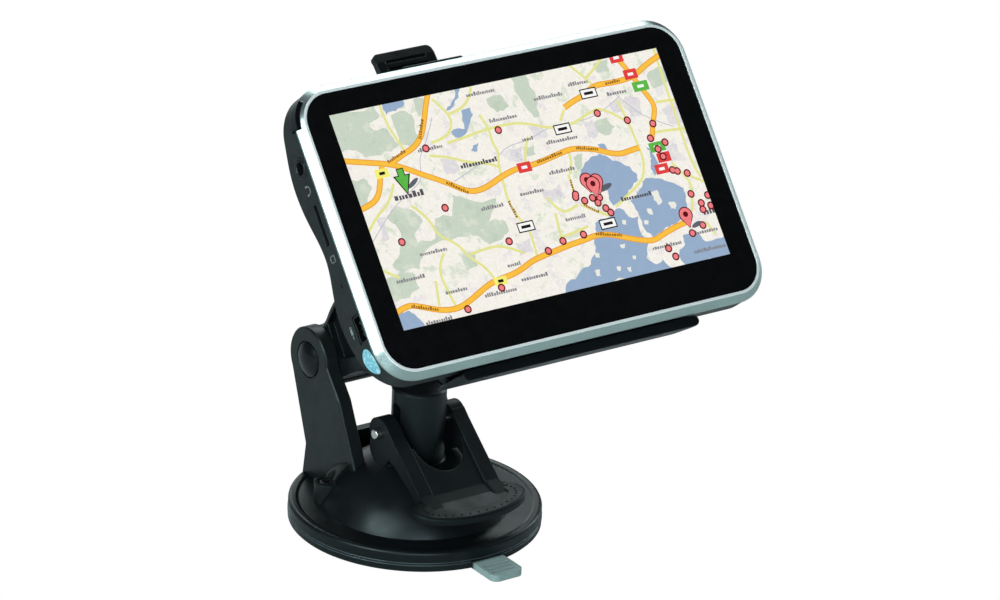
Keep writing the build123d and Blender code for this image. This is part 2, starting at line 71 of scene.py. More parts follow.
# camera
viewCamera = {
    "position": Vector((-0.80292, -1.14272, 0.66298)),
    "lookAt": Vector((0.0736, 0.0637, 0.030)),
    "roll": 2.65,
    "lens": 189.7,
    "sensor": 36,
    "near": 0.05,
    "far": 50,
}


def setCamera():
    data = bpy.data.cameras.new("camera")
    data.lens = viewCamera["lens"]
    data.sensor_width = viewCamera["sensor"]
    data.clip_start = viewCamera["near"]
    data.clip_end = viewCamera["far"]
    camera = bpy.data.objects.new("camera", data)
    scene.collection.objects.link(camera)
    forward = (viewCamera["lookAt"] - viewCamera["position"]).normalized()
    side = forward.cross(Vector((0, 0, 1))).normalized()
    top = side.cross(forward)
    turn = radians(viewCamera["roll"])
    right = cos(turn) * side + sin(turn) * top
    up = -sin(turn) * side + cos(turn) * top
    place = Matrix((right, up, -forward)).transposed().to_4x4()
    place.translation = viewCamera["position"]
    camera.matrix_world = place
    scene.camera = camera


setCamera()
print("camera set")


# materials
def setSockets(node, values):
    for label, value in values.items():
        node.inputs[label].default_value = value


def newMaterial(name, values):
    material = bpy.data.materials.new(name)
    material.use_nodes = True
    tree = material.node_tree
    shader = tree.nodes["Principled BSDF"]
    setSockets(shader, values)
    return material, tree, shader


# noise on Object coordinates; scale counts features per metre
def objectNoise(tree, scale, detail=4.0, roughness=0.55):
    where = tree.nodes.new("ShaderNodeTexCoord")
    noise = tree.nodes.new("ShaderNodeTexNoise")
    setSockets(noise, {"Scale": scale, "Detail": detail, "Roughness": roughness})
    tree.links.new(where.outputs["Object"], noise.inputs["Vector"])
    return noise


# colours a socket from noise, by a ramp of (place, colour) stops
def rampInto(tree, noise, stops, socket):
    ramp = tree.nodes.new("ShaderNodeValToRGB")
    elements = ramp.color_ramp.elements
    while len(elements) < len(stops):
        elements.new(0.5)
    for element, (position, colour) in zip(elements, stops):
        element.position = position
        element.color = colour
    tree.links.new(noise.outputs["Fac"], ramp.inputs["Fac"])
    tree.links.new(ramp.outputs["Color"], socket)


# spreads a value from one range over another
def spread(tree, source, start, end):
    ranged = tree.nodes.new("ShaderNodeMapRange")
    setSockets(ranged, {
        "From Min": start[0], "From Max": start[1], "To Min": end[0], "To Max": end[1]})
    tree.links.new(source, ranged.inputs["Value"])
    return ranged


# lays a second colour over the one that a socket already gets; returns the socket for how much
def colourOver(tree, socket, colour):
    mix = tree.nodes.new("ShaderNodeMix")
    mix.data_type = "RGBA"
    mix.inputs["B"].default_value = colour
    tree.links.new(socket.links[0].from_socket, mix.inputs["A"])
    tree.links.new(mix.outputs["Result"], socket)
    return mix.inputs["Factor"]


def shade(colour, factor):
    return (*(min(1, part * factor) for part in colour[:3]), 1)


# the base colour, a little darker and lighter in soft clouds
def cloudTint(tree, shader, look, detail, variation):
    base, cloud = look["colour"], objectNoise(tree, look["cloud"], detail)
    stops = [(0.3, shade(base, 1 - variation)), (0.7, shade(base, 1 + variation))]
    rampInto(tree, cloud, stops, shader.inputs["Base Color"])


# fine relief over softened edges
def fineRelief(tree, shader, noise, look, depth):
    bump = tree.nodes.new("ShaderNodeBump")
    setSockets(bump, {"Strength": look["bump"], "Distance": depth})
    tree.links.new(noise.outputs["Fac"], bump.inputs["Height"])
    soft = tree.nodes.new("ShaderNodeBevel")
    soft.samples = 6
    soft.inputs["Radius"].default_value = look["edge"]
    tree.links.new(soft.outputs["Normal"], bump.inputs["Normal"])
    tree.links.new(bump.outputs["Normal"], shader.inputs["Normal"])


# what a finish gets unless it says otherwise
plasticLook = {
    "cloud": 60, "smear": 140, "grain": 2600, "bump": 0.12, "edge": 0.00035, "specular": 0.28,
}
metalLook = {"cloud": 90, "flake": 5000, "bump": 0.06, "edge": 0.0002, "metallic": 1}


# injection-moulded plastic: a fine spark grain, cloudy gloss and softened edges
def mouldedPlastic(name, look):
    look = {**plasticLook, **look}
    material, tree, shader = newMaterial(name, {
        "IOR": 1.5, "Specular IOR Level": look["specular"], "Specular Tint": (0.80, 0.98, 1.0, 1)})
    cloudTint(tree, shader, look, 3, 0.14)
    smear = objectNoise(tree, look["smear"], 5)
    gloss = spread(tree, smear.outputs["Fac"], (0.35, 0.65), look["roughness"])
    tree.links.new(gloss.outputs["Result"], shader.inputs["Roughness"])
    fineRelief(tree, shader, objectNoise(tree, look["grain"], 2), look, 0.0001)
    return material


# metal or metallic paint, with fine flake
def metal(name, look):
    look = {**metalLook, **look}
    material, tree, shader = newMaterial(name, {"Metallic": look["metallic"]})
    cloudTint(tree, shader, look, 4, 0.07)
    flake = objectNoise(tree, look["flake"], 2, 0.5)
    gloss = spread(tree, flake.outputs["Fac"], (0.3, 0.7), look["roughness"])
    tree.links.new(gloss.outputs["Result"], shader.inputs["Roughness"])
    fineRelief(tree, shader, flake, look, 0.00005)
    return material


# the lit display's inks glow, and take no light from the room
def glowMaterial(name):
    return newMaterial(name, {
        "Base Color": (0, 0, 0, 1), "Specular IOR Level": 0, "Roughness": 0.9,
        "Emission Strength": 1.0})


def litInk(name, colour, variation=0.03, scale=900):
    material, tree, shader = glowMaterial(name)
    stops = [(0.35, shade(colour, 1 - variation)), (0.65, shade(colour, 1 + variation))]
    rampInto(tree, objectNoise(tree, scale, 3), stops, shader.inputs["Emission Color"])
    return material


# open land: cream with scattered fields, gardens and yards, and thin streets between them
def landInk(name, look):
    material, tree, shader = glowMaterial(name)
    glow = shader.inputs["Emission Color"]
    ground = [(0.38, look["garden"]), (0.43, look["plain"]),
              (0.56, look["plain"]), (0.62, look["yard"])]
    rampInto(tree, objectNoise(tree, look["patches"], 7, 0.62), ground, glow)
    share = colourOver(tree, glow, look["street"])
    line = [(0.47, (0, 0, 0, 1)), (0.5, (1, 1, 1, 1)), (0.53, (0, 0, 0, 1))]
    rampInto(tree, objectNoise(tree, look["streets"], 3, 0.7), line, share)
    return material


# silver paint on the slope, and a painted highlight on the narrow flat beside the glass: a pale,
# nearly unmetallic band in place of the shine on its polished edge
def bezelSilver(name, look):
    material = metal(name, look)
    tree = material.node_tree
    shader = tree.nodes["Principled BSDF"]
    where = tree.nodes.new("ShaderNodeTexCoord")
    along = tree.nodes.new("ShaderNodeVectorMath")
    along.operation = "DOT_PRODUCT"
    along.inputs[1].default_value = outward
    tree.links.new(where.outputs["Object"], along.inputs[0])
    front = unitCentre.dot(outward)
    start = (front - look["lipDepth"], front - look["lipDepth"] * 0.6)
    lip = spread(tree, along.outputs["Value"], start, (0, 1))
    # painted highlight: the front band is coloured pale and made nearly unmetallic so that it
    # shows as a bright line
    share = colourOver(tree, shader.inputs["Base Color"], look["lip"])
    tree.links.new(lip.outputs["Result"], share)
    shine = spread(tree, lip.outputs["Result"], (0, 1), (look["metallic"], look["lipMetallic"]))
    tree.links.new(shine.outputs["Result"], shader.inputs["Metallic"])
    return material


# rubber: softer than the plastics, and paler where the pull tab is thin
def cupRubber(name, look):
    material = mouldedPlastic(name, look)
    tree = material.node_tree
    shader = tree.nodes["Principled BSDF"]
    setSockets(shader, {
        "Sheen Weight": look["sheen"], "Sheen Roughness": 0.4, "Sheen Tint": (0.6, 0.75, 0.8, 1)})
    where = tree.nodes.new("ShaderNodeTexCoord")
    split = tree.nodes.new("ShaderNodeSeparateXYZ")
    tree.links.new(where.outputs["Object"], split.inputs["Vector"])
    reach = spread(tree, split.outputs["Y"], (look["tabStart"], look["tabEnd"]), (0, 1))
    reach.interpolation_type = "SMOOTHSTEP"
    share = colourOver(tree, shader.inputs["Base Color"], look["tab"])
    tree.links.new(reach.outputs["Result"], share)
    return material


finishes = {
    "cup_rubber": cupRubber("cupRubber", {
        "colour": (0.0065, 0.0085, 0.0100, 1), "roughness": (0.32, 0.48), "grain": 1500,
        "bump": 0.08, "sheen": 0.05, "edge": 0.0004, "tab": (0.29, 0.40, 0.385, 1),
        "tabStart": -0.0372, "tabEnd": -0.0388}),
    "base_plastic": mouldedPlastic("basePlastic", {
        "colour": (0.0050, 0.0065, 0.0075, 1), "roughness": (0.30, 0.42), "bump": 0.05,
        "edge": 0.0004}),
    "fork_plastic": mouldedPlastic("forkPlastic", {
        "colour": (0.0075, 0.0095, 0.0100, 1), "roughness": (0.34, 0.46), "bump": 0.10,
        "edge": 0.0005}),
    "lever_plastic": mouldedPlastic("leverPlastic", {
        "colour": (0.0050, 0.0065, 0.0075, 1), "roughness": (0.42, 0.54), "specular": 0.2,
        "bump": 0.12, "edge": 0.0005}),
    "arm_plastic": mouldedPlastic("armPlastic", {
        "colour": (0.0040, 0.0052, 0.0060, 1), "roughness": (0.36, 0.48), "bump": 0.12,
        "edge": 0.0005}),
    "stud_plastic": mouldedPlastic("studPlastic", {
        "colour": (0.03, 0.03, 0.03, 1), "roughness": (0.4, 0.5)}),
    "housing_plastic": mouldedPlastic("housingPlastic", {
        "colour": (0.0085, 0.0105, 0.0115, 1), "roughness": (0.38, 0.52), "grain": 2200,
        "bump": 0.22, "edge": 0.0004}),
    "chassis": mouldedPlastic("chassisPlastic", {
        "colour": (0.01, 0.01, 0.01, 1), "roughness": (0.5, 0.6)}),
    "board": mouldedPlastic("boardMask", {
        "colour": (0.01, 0.09, 0.035, 1), "roughness": (0.25, 0.35), "grain": 900, "bump": 0.2}),
    "battery_wrap": mouldedPlastic("batteryWrap", {
        "colour": (0.02, 0.03, 0.10, 1), "roughness": (0.2, 0.3), "grain": 400}),
    "foam": mouldedPlastic("foamTape", {
        "colour": (0.02, 0.02, 0.02, 1), "roughness": (0.8, 0.9), "grain": 1500, "bump": 0.6}),
    "ceramic": mouldedPlastic("aerialCeramic", {
        "colour": (0.55, 0.48, 0.36, 1), "roughness": (0.5, 0.6), "grain": 3000, "bump": 0.2}),
    "port_black": mouldedPlastic("portPlastic", {
        "colour": (0.008, 0.009, 0.01, 1), "roughness": (0.22, 0.3), "bump": 0.03}),
    "button_gloss": mouldedPlastic("buttonGloss", {
        "colour": (0.0045, 0.0050, 0.0075, 1), "roughness": (0.10, 0.16), "bump": 0.01,
        "specular": 0.12}),
    "lcd": mouldedPlastic("displayBack", {
        "colour": (0.02, 0.02, 0.02, 1), "roughness": (0.3, 0.4)}),
    "bright_steel": metal("brightSteel", {
        "colour": (0.60, 0.60, 0.58, 1), "roughness": (0.18, 0.30), "flake": 1800}),
    "screw_steel": metal("screwSteel", {
        "colour": (0.10, 0.105, 0.11, 1), "roughness": (0.30, 0.42), "flake": 2400}),
    "tin": metal("tinPlate", {
        "colour": (0.45, 0.45, 0.43, 1), "roughness": (0.25, 0.36), "flake": 3000}),
    # paler than the other plastics: a painted highlight on the seam's two ridges
    "seam_bead": mouldedPlastic("seamBeadHighlight", {
        "colour": (0.045, 0.062, 0.070, 1), "roughness": (0.22, 0.30), "bump": 0.02,
        "specular": 0.5}),
    "cap_plastic": mouldedPlastic("capPlastic", {
        "colour": (0.0050, 0.0062, 0.0068, 1), "roughness": (0.24, 0.30), "bump": 0.02,
        "specular": 0.26}),
    "dull_nickel": metal("dullNickel", {
        "colour": (0.055, 0.060, 0.062, 1), "roughness": (0.30, 0.42), "flake": 2600}),
    # the pale lip colour is a painted highlight along the edge of the glass
    "bezel_silver": bezelSilver("bezelSilver", {
        "colour": (0.44, 0.55, 0.545, 1), "roughness": (0.24, 0.34), "flake": 7000, "bump": 0.05,
        "metallic": 0.9, "edge": 0.0004, "lip": (0.93, 0.97, 0.97, 1), "lipMetallic": 0.1,
        "lipDepth": 0.00012}),
}


def stickerFilm():
    material, tree, shader = newMaterial("stickerFilm", {
        "Roughness": 0.35, "Specular IOR Level": 0.3})
    swirl = [(0.40, (0.42, 0.70, 0.76, 1)), (0.50, (0.10, 0.42, 0.56, 1)),
             (0.58, (0.30, 0.62, 0.70, 1))]
    rampInto(tree, objectNoise(tree, 620, 4), swirl, shader.inputs["Base Color"])
    return material


# the black border printed behind the glass
def printedBlack():
    material, tree, shader = newMaterial("printedBlack", {
        "Roughness": 0.06, "Specular IOR Level": 0.35})
    dust = [(0.4, (0.0022, 0.0025, 0.0028, 1)), (0.6, (0.0034, 0.0037, 0.004, 1))]
    rampInto(tree, objectNoise(tree, 300, 4), dust, shader.inputs["Base Color"])
    return material


# the little marks painted on the unit's side
def markInk():
    material, tree, shader = newMaterial("symbolPaint", {"Roughness": 0.55})
    worn = [(0.35, (0.16, 0.18, 0.185, 1)), (0.6, (0.33, 0.36, 0.37, 1))]
    rampInto(tree, objectNoise(tree, 2200, 4), worn, shader.inputs["Base Color"])
    return material


def clearGlass():
    return newMaterial("clearGlass", {
        "Base Color": (1, 1, 1, 1), "Transmission Weight": 1, "Roughness": 0.0, "IOR": 1.12})[0]


finishes["sticker"] = stickerFilm()
finishes["screen_glass"] = printedBlack()
for subpart in frame["record"]["subparts"]:
    node = nodes[subpart["node"]]
    node.data.materials.clear()
    node.data.materials.append(finishes[subpart["material_slot"]])
for name in ("usb_socket", "card_socket"):
    nodes[name].data.materials[0] = finishes["dull_nickel"]
nodes["pivot_bolt"].data.materials[0] = finishes["cap_plastic"]     # its steel head is capped
print("finishes on", len(nodes), "CAD nodes")


# makes a bmesh an object in the scene
def makeObject(bm, name, finish):
    mesh = bpy.data.meshes.new(name)
    bm.to_mesh(mesh)
    bm.free()
    if finish:
        mesh.materials.append(finish)
    piece = bpy.data.objects.new(name, mesh)
    scene.collection.objects.link(piece)
    return piece


# puts a bmesh in its place, shades it and parents it to its body's empty
def finishPiece(bm, name, finish, body, place, smooth):
    bmesh.ops.transform(bm, matrix=place, verts=bm.verts)
    bmesh.ops.recalc_face_normals(bm, faces=bm.faces)
    piece = makeObject(bm, name, finish)
    if smooth:
        piece.data.shade_smooth()
        piece.data.set_sharp_from_angle(angle=radians(smooth))
    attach(piece, body)
    return piece


# one flat face with rounded corners
def roundedOutline(bm, width, height, radius, z, y, segments):
    verts = bmesh.ops.create_grid(bm, x_segments=1, y_segments=1, size=0.5)["verts"]
    bmesh.ops.scale(bm, vec=(width, height, 1), verts=verts)
    bmesh.ops.translate(bm, vec=(0, y, z), verts=verts)
    bmesh.ops.bevel(bm, geom=verts, offset=radius, offset_type="OFFSET", segments=segments,
                    profile=0.5, affect="VERTICES", material=-1)
    return next(face for face in bm.faces
                if (face.calc_center_median() - Vector((0, y, z))).length < 1e-3)


def extrudeUp(bm, faces, height):
    made = bmesh.ops.extrude_face_region(bm, geom=faces)["geom"]
    tops = [part for part in made if isinstance(part, bmesh.types.BMVert)]
    bmesh.ops.translate(bm, vec=(0, 0, height), verts=tops)
    return [part for part in made if isinstance(part, bmesh.types.BMFace)]


# turns (radius, height) points about Z into a closed skin
def spunPiece(profile, steps):
    bm = bmesh.new()
    verts = [bm.verts.new((r, 0, z)) for r, z in profile]
    for a, b in zip(verts, verts[1:]):
        bm.edges.new((a, b))
    bmesh.ops.spin(bm, geom=bm.verts[:] + bm.edges[:], axis=(0, 0, 1), cent=(0, 0, 0),
                   angle=2 * pi, steps=steps, use_merge=True, use_duplicate=False)
    bmesh.ops.remove_doubles(bm, verts=bm.verts, dist=1e-4)
    return bm


# the lit map
mapSheet = {
    "width": 110.88,
    "height": 62.83,
    "rise": 2.4,            # the display sits above the middle of the unit
    "depth": -0.37,         # just under the glass
    "step": 0.005,          # between printed layers
}
inks = {
    "land": landInk("landInk", {
        "patches": 190, "streets": 420, "plain": fromBytes(244, 240, 231),
        "garden": fromBytes(218, 226, 208), "yard": fromBytes(231, 227, 227),
        "street": fromBytes(253, 251, 244)}),
    "wood": landInk("woodInk", {
        "patches": 210, "streets": 300, "plain": fromBytes(201, 213, 196),
        "garden": fromBytes(193, 207, 188), "yard": fromBytes(218, 224, 208),
        "street": fromBytes(207, 219, 202)}),
    "town": landInk("townInk", {
        "patches": 320, "streets": 600, "plain": fromBytes(222, 218, 222),
        "garden": fromBytes(232, 228, 224), "yard": fromBytes(210, 206, 216),
        "street": fromBytes(240, 238, 236)}),
    "island": litInk("islandInk", fromBytes(236, 236, 226), 0.03, 900),
    "water": litInk("waterInk", fromBytes(152, 175, 203), 0.02, 400),
    "lane": litInk("laneInk", fromBytes(230, 229, 150), 0.03),
    "casing": litInk("casingInk", fromBytes(232, 160, 62), 0.03),
    "main": litInk("mainInk", fromBytes(252, 194, 68), 0.03),
    "rail": litInk("railInk", fromBytes(190, 190, 205), 0.03),
    "text": litInk("textInk", fromBytes(134, 132, 136), 0.25, 2500),
    "boldText": litInk("boldTextInk", fromBytes(84, 82, 88), 0.3, 2500),
    "roadText": litInk("roadTextInk", fromBytes(158, 104, 36), 0.3, 2500),
    "red": litInk("redInk", fromBytes(226, 66, 66), 0.05),
    "green": litInk("greenInk", fromBytes(92, 184, 74), 0.05),
    "yellow": litInk("yellowInk", fromBytes(246, 242, 122), 0.03),
    "white": litInk("whiteInk", fromBytes(250, 250, 248), 0.01),
    "black": litInk("blackInk", fromBytes(28, 24, 26), 0.1),
    "dot": litInk("dotInk", fromBytes(242, 128, 132), 0.06),
    "rim": litInk("rimInk", fromBytes(96, 22, 28), 0.08),
    "shadow": litInk("shadowInk", fromBytes(96, 100, 112), 0.15),
}


# trims a flat layer to the display, lays it at its height and finishes it
def addLayer(bm, name, ink, layer):
    halfW, halfH = mapSheet["width"] / 2, mapSheet["height"] / 2
    for point, normal in (((halfW, 0, 0), (1, 0, 0)), ((-halfW, 0, 0), (-1, 0, 0)),
                          ((0, halfH, 0), (0, 1, 0)), ((0, -halfH, 0), (0, -1, 0))):
        bmesh.ops.bisect_plane(bm, geom=bm.verts[:] + bm.edges[:] + bm.faces[:],
                               plane_co=point, plane_no=normal, clear_outer=True)
    lift = mapSheet["depth"] + mapSheet["step"] * layer
    bmesh.ops.translate(bm, vec=(0, mapSheet["rise"], lift), verts=bm.verts)
    for face in bm.faces:
        face.normal_update()
    bmesh.ops.reverse_faces(bm, faces=[face for face in bm.faces if face.normal.z < 0])
    bmesh.ops.transform(bm, matrix=unitPlace, verts=bm.verts)
    piece = makeObject(bm, name, inks[ink])
    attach(piece, "cradle")


# adds a filled outline, or a ribbon along a smooth line, to a flat layer
def curveMesh(bm, points, closed, halfWidth=0, order=3):
    curve = bpy.data.curves.new("line", "CURVE")
    curve.dimensions = "2D" if closed else "3D"
    spline = curve.splines.new("NURBS")
    spline.points.add(len(points) - 1)
    for point, (x, y) in zip(spline.points, points):
        point.co = (x, y, 0, 1)
    spline.use_cyclic_u = closed
    spline.order_u = order
    spline.use_endpoint_u = not closed
    spline.resolution_u = 6
    if closed:
        curve.fill_mode = "BOTH"
    else:
        curve.bevel_depth = halfWidth
        curve.bevel_resolution = 1
        curve.use_fill_caps = True
    holder = bpy.data.objects.new("line", curve)
    mesh = bpy.data.meshes.new_from_object(holder)
    if not closed:
        mesh.transform(Matrix.Scale(0.001, 4, (0, 0, 1)))      # presses the tube flat
    bm.from_mesh(mesh)
    bpy.data.objects.remove(holder)
    bpy.data.curves.remove(curve)
    bpy.data.meshes.remove(mesh)


# outlines and lines of the map, in millimetres from the middle of the display
woods = [
    [(-56, 32), (-40.5, 32), (-40, 28.5), (-44, 27), (-43.5, 25), (-39, 24.5), (-38, 21.5),
     (-37, 19.5), (-40, 18), (-44, 17.5), (-49, 18), (-52, 20.5), (-56, 20.5)],
    [(-36.5, 28), (-32, 28.5), (-30, 27), (-30, 20), (-34, 18.3), (-37, 20), (-36.5, 24)],
    [(-48.5, 0.5), (-44, 2.5), (-40.5, 1), (-38, -3), (-42, -6), (-42, -8.5), (-36, -8.5),
     (-34, -3), (-28.5, -3.5), (-26, 2.5), (-22, 0.5), (-13, -1), (-16, -5), (-18, -7.5),
     (-13, -7.5), (-12.5, -11), (-16, -13), (-20, -13.5), (-22, -11), (-26, -10), (-37, -10),
     (-42, -13), (-44, -16), (-50, -16), (-52, -13), (-48, -9), (-46, -5), (-47, -2)],
    [(-56, -17), (-50, -15), (-46, -17), (-46, -21), (-50, -23), (-56, -23)],
    [(5, 32), (10, 32), (11, 24), (10, 19), (8, 19), (6, 24)],
    [(-56, 13), (-51, 12), (-50, 9), (-53, 5), (-56, 5)],
    [(-28, 31), (-24.6, 31), (-25.4, 27), (-28, 26)],
    [(-5, 27), (0, 27.4), (1.4, 23.6), (-3, 22.6)],
    [(26, 13.6), (31, 14.6), (33, 11.6), (29, 9.6)],
    [(16, 5.4), (19.4, 6), (18, 2.6), (16, 1.4)],
    [(-30, -15), (-25.6, -14.6), (-26, -18.6), (-30, -19)],
    [(1, 11.6), (5, 11), (4.4, 8.6), (0.6, 9)],
    [(33, 30.6), (38, 31), (37.4, 27.4), (33.4, 27.8)],
    [(49, 24), (55, 26), (55.8, 21), (50, 20)],
]
townPatches = [
    [(5, 17), (10, 17.6), (10.6, 13), (6, 12.6)],
    [(23, 14.6), (26.4, 15), (26, 9.8), (23, 10.4)],
    [(33.6, 19), (38, 19.4), (38, 15), (34, 15.4)],
    [(50, 13.6), (56, 14), (56, 8.6), (51, 9)],
    [(-26, 13), (-20.6, 12.6), (-21, 8.8), (-25.6, 8.4)],
    [(-52, 0), (-48.6, 0.4), (-50, -5.6), (-53, -6)],
    [(-12, -14.6), (-6.6, -14), (-7, -18.4), (-12, -18.6)],
    [(2, -1.6), (8.6, -1), (9, -5.4), (3, -6)],
    [(39, 19), (44, 18.4), (43, 13), (39.4, 13.6)],
    [(-4, 12), (1, 12), (0, 7.6), (-4, 8)],
    [(46, 3), (51, 3), (51, -1.6), (47, -2)],
]
waters = [
    [(15.5, -1), (17, 1.5), (20, 3.6), (22, 4.6), (24.5, 4.9), (27, 3.6), (30, 1.6), (33, -0.4),
     (34.5, -3), (34, -5), (31.5, -6.5), (29, -8.4), (26, -10), (23.5, -10.6), (22.7, -9),
     (23.3, -6), (21, -4), (18, -4)],
    [(25.3, 7.8), (27.6, 7.2), (28, 5.6), (25.8, 6)],
    [(35.5, -5.5), (38, -5), (42, -6), (45.5, -8), (48, -10), (47.5, -13), (46.5, -16),
     (44, -18.5), (40, -19.5), (36, -21), (33, -22), (31, -20), (30.5, -15.5), (30, -12),
     (29.5, -10), (33, -8)],
    [(24, -11.5), (25.8, -12), (27, -14.5), (30, -15), (30.2, -22), (30, -23.5), (28, -27),
     (30.5, -29.5), (33, -28.5), (36, -33), (-2, -33), (0.5, -28.6), (5, -26.8), (9.5, -25.3),
     (12.3, -22.4), (13, -19.4), (15, -16.8), (15.5, -14.2), (20, -13.5)],
    [(40, -33), (39.5, -27), (42, -25.7), (42.5, -23), (47, -22.5), (49, -26.4), (56.5, -25.6),
     (56.5, -33)],
    [(-57, -27.4), (-52, -26.3), (-50.5, -27.5), (-49, -30), (-48, -33), (-57, -33)],
    [(-38.5, 33), (-38.3, 30.3), (-37.8, 28.3), (-36, 29), (-33, 29.5), (-31, 30.5), (-31.5, 33)],
    [(-19.5, 25.8), (-17, 27.2), (-14.5, 29.5), (-13, 33), (-11.5, 33), (-13.5, 29), (-16, 26.8)],
    [(-14.3, 25), (-11, 25.5), (-10.8, 23.5), (-13, 21), (-14.5, 19), (-19, 18.2), (-19.8, 19.8),
     (-17.5, 20.5), (-15, 20), (-14.8, 22.5)],
    [(-15.5, 13.5), (-12.3, 15.3), (-13.5, 13)],
    [(40.4, 4.6), (41.6, 3), (41, 0.4), (39.6, -2.6), (40, -5), (42, -4), (42.4, 0)],
]
islands = [
    [(24.4, -15), (25.8, -15.4), (25.4, -16.6), (24.2, -16.2)],
    [(31.4, -16.6), (33, -17), (32.4, -18), (31.2, -17.6)],
    [(12, -22.6), (13.6, -22.8), (13.2, -24), (12, -23.8)],
    [(21, -21.6), (22.8, -21.8), (22.2, -23), (21, -22.6)],
    [(10, -27.4), (11.8, -27.4), (11.4, -29.2), (10.2, -29)],
    [(17.4, -27.6), (18.8, -27.8), (18.2, -29), (17.4, -28.8)],
    [(20.6, -28.4), (22, -28.6), (21.6, -30), (20.8, -29.8)],
    [(23.6, -25.6), (24.8, -25.8), (24.4, -26.8), (23.6, -26.6)],
    [(37, -9), (39.2, -8.8), (39.6, -12.4), (38, -13.2), (37, -11.4)],
    [(41.4, -13), (43.6, -13.4), (43, -15.4), (41.6, -15)],
    [(33.6, -13.4), (35, -13.6), (34.8, -15.6), (33.8, -15)],
]
mainRoads = [
    [(-57, 18.4), (-50, 16.6), (-43, 14.9), (-38.5, 13), (-33.5, 10), (-30, 8.1), (-26, 5.8),
     (-22, 3), (-18.5, 1.9), (-14, 2.6), (-9.5, 4.3), (-4, 5.7), (0, 5.8), (4, 6), (10, 7),
     (15.5, 8), (19, 7.6), (24, 6.4), (28, 4.5), (31.5, 3.5), (35, 3.9), (38.3, 4.2)],
    [(-42, 14.5), (-38, 16.2), (-33, 17.6), (-30, 19.8), (-28, 22.4), (-26.2, 25.7), (-24.5, 29),
     (-22, 33)],
    [(-44.6, 14.4), (-46.3, 11.8), (-47.2, 9.5), (-49, 6.4), (-52, 4.5), (-57, 3.6)],
    [(-57, -26.6), (-52, -24.7), (-48, -25.9), (-43, -28), (-38.5, -28.9), (-35, -28.6),
     (-30, -26.7), (-25, -24.4), (-21, -23.6), (-16, -23.1), (-12, -22), (-8, -20.4), (0, -19.3),
     (5, -18.6), (10, -18.2), (14, -17.6), (17, -17.8), (20, -18.6), (24, -20.3), (29, -22.1),
     (32.5, -22.8), (37, -21.3), (42, -20.1), (45.5, -19.6)],
    [(18.8, 19.9), (22, 21.2), (26, 22.1), (31, 24.5), (36, 24.2), (42, 24.2), (46.5, 25.4),
     (50, 27.3), (57, 29.6)],
    [(40, 33), (42.5, 29), (44, 25.5), (45.7, 21.5), (46.8, 19), (48.2, 15.4), (47.2, 12.8),
     (45.5, 10.2), (44, 6.8), (43.2, 5.5)],
]
lanes = [
    [(-39, 33), (-38.8, 26), (-37.5, 22), (-36, 17)],
    [(-22, 30), (-18, 25), (-19, 21), (-22, 18.5), (-27, 18)],
    [(-18.5, 25), (-10, 25.5), (-8, 33)],
    [(-22, 17), (-16, 17.5), (-11, 18.3), (-4, 18.7), (2, 18.6), (7, 17), (12, 15), (19, 14.6),
     (26, 17), (31, 18), (37, 12.5)],
    [(16, 16.5), (18.5, 19.5)],
    [(-9, 23), (-7.4, 19), (-8, 14), (-7, 12), (-8.5, 8), (-9, 2), (-9.5, -3), (-8, -8),
     (-5.5, -13), (-6.5, -19.6)],
    [(-29, 14.5), (-24, 13.5), (-18, 10.5), (-11, 9), (-8, 7)],
    [(-57, -4), (-52, 1), (-46, 4), (-43, 9)],
    [(-40, 2), (-36, -2), (-35, -8), (-30, -11), (-27.5, -16), (-23, -20), (-22, -24)],
    [(-35, -13), (-38.5, -16.5), (-38, -23), (-37, -28)],
    [(-42, -27), (-40.5, -20)],
    [(-27, -15), (-20, -14), (-15, -15), (-10, -18)],
    [(3, -4), (5, -8), (8, -9.5), (12, -8)],
    [(3, -18), (4, -9)],
    [(3, -16), (9, -15.4), (13, -14.6)],
    [(12.5, 1), (12.3, -5)],
    [(13, -8), (17, -11), (21, -13)],
    [(24, -11), (29, -8.5), (35, -5.5), (37, -3), (38.5, 1), (38, 8), (37.5, 14), (36.5, 19)],
    [(24, 33), (29, 27), (31, 24)],
    [(29, 27), (33, 29), (38, 33)],
    [(49, 16), (57, 15.5)],
    [(44, 7.5), (50, 7.5), (57, 6.5)],
    [(54.5, 32), (54, 20), (54, 10), (53.5, -4), (55, -8)],
    [(50, -6), (57, -10.4)],
    [(47, -2), (49, -5), (51, -9), (50, -13), (48, -17)],
    [(15, 8), (15.5, 4), (13, 1)],
    [(-57, -13), (-51, -17)],
    [(0, 6), (1, 10), (4, 14)],
    [(51.4, -21), (53, -25)],
]
rails = [
    [(-57, -7), (-49, 0), (-42, 4.4), (-34, 8), (-33, 12), (-32, 15), (-28, 19), (-24, 25)],
    [(-24, 6), (-18, 8), (-13, 9.6), (-8, 10), (-4, 12.6), (4, 13), (12, 15.6), (20, 15), (30, 16),
     (38, 20)],
    [(36, 22), (40, 16), (46, 11), (52, 8)],
]
dots = [
    (-29.3, 16.8), (-4.7, 17.6), (-29.8, -0.7), (-46.7, -7.4), (-13.6, -13.8), (-2.4, -18.9),
    (-21, -26), (-33.7, -29.7), (28.7, 16.4), (37.6, 12.6), (45.5, 10.1), (43, 6.1), (47.3, 4.1),
    (44.2, 2.6), (45, 0.2), (46.5, -4.2), (47.9, -4.8), (50.9, -6), (12.2, -5.8), (12.5, -5),
    (14.7, -7.3), (17.5, -7), (18.7, -8.7), (19.8, -7.3), (20.6, -10.7), (21.7, -12.2),
    (3.3, -17.1), (10.5, -16.6), (36.1, -25.9), (37.5, -28.6), (49.9, -21.6), (45.6, -23.2),
    (49.7, -12.1), (52, -15.3), (51.8, -17.2), (54.8, -16.6), (55, -13.5),
]
